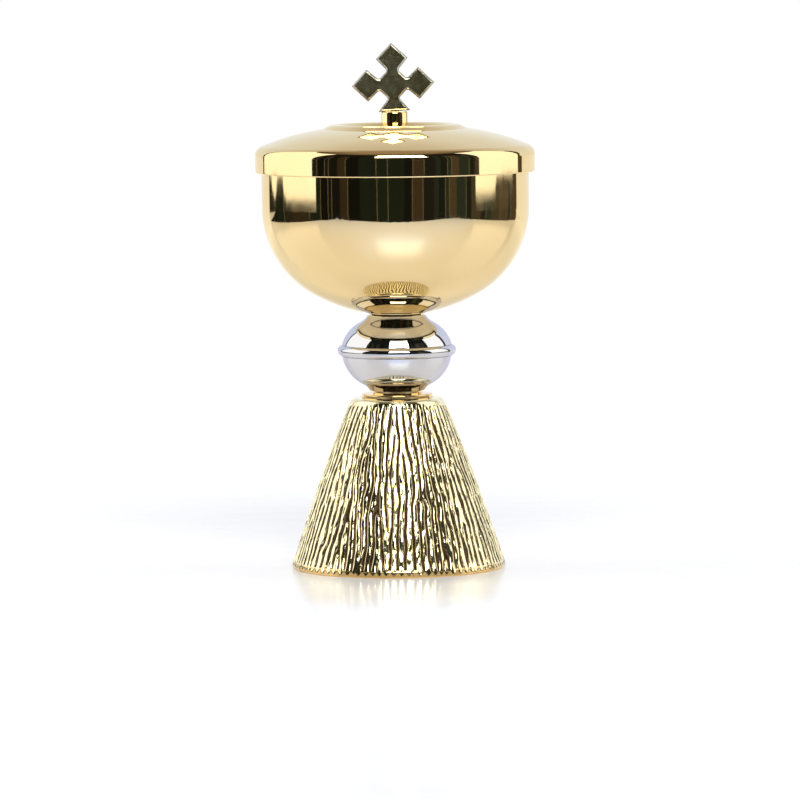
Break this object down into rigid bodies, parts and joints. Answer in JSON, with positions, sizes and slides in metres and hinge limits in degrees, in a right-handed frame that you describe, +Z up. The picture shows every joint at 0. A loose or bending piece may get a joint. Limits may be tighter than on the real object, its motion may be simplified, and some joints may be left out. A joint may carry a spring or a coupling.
{
  "type": "ciborium vessel",
  "caption": "Lidded ciborium: gilt cup on a silver knop and a bark-textured conical foot, with a lift-off domed lid topped by a cross.",
  "frame": {"origin": "centre of the foot's bottom plane", "axes": "+Z up the axis of the vessel; the flat face of the cross looks towards -Y"},
  "size_m": [0.115, 0.115, 0.2155],
  "materials": {
    "cup_gilt": "mirror-polished pale gold plate",
    "lid_gilt": "mirror-polished pale gold plate",
    "finial_gilt": "polished gold plate over a lightly hammered face",
    "foot_gilt": "polished gold plate",
    "bark_gilt": "cast bark texture, gold plated, dark patina in the grooves",
    "knop_silver": "mirror-polished silver plate",
    "stem_brass": "turned, unplated",
    "fastener_steel": "zinc plated"
  },
  "bodies": {
    "vessel": {"foot_ring": "foot_gilt", "bark_cone": "bark_gilt", "cone_cap_ring": "foot_gilt", "knop_lower_shell": "knop_silver", "knop_bead": "knop_silver", "knop_upper_shell": "knop_silver", "knop_core_tube": "stem_brass", "cup_boss": "cup_gilt", "cup": "cup_gilt", "tie_rod": "fastener_steel", "clamp_washer": "stem_brass", "spring_washer": "fastener_steel", "base_nut": "fastener_steel"},
    "lid_ring": {"lid_locating_ring": "lid_gilt"},
    "lid": {"lid_shell": "lid_gilt", "lid_rim_band": "lid_gilt", "finial_ferrule": "finial_gilt", "finial_cross": "finial_gilt", "finial_screw": "fastener_steel", "finial_washer": "stem_brass"}
  },
  "joints": [
    {"name": "lid_lift", "type": "slide", "parent": "vessel", "child": "lid_ring", "axis": [0, 0, 1], "range_m": [0, 0.12]},
    {"name": "lid_turn", "type": "hinge", "parent": "lid_ring", "child": "lid", "pos_m": [0, 0, 0.168], "axis": [0, 0, 1], "continuous": true}
  ]
}
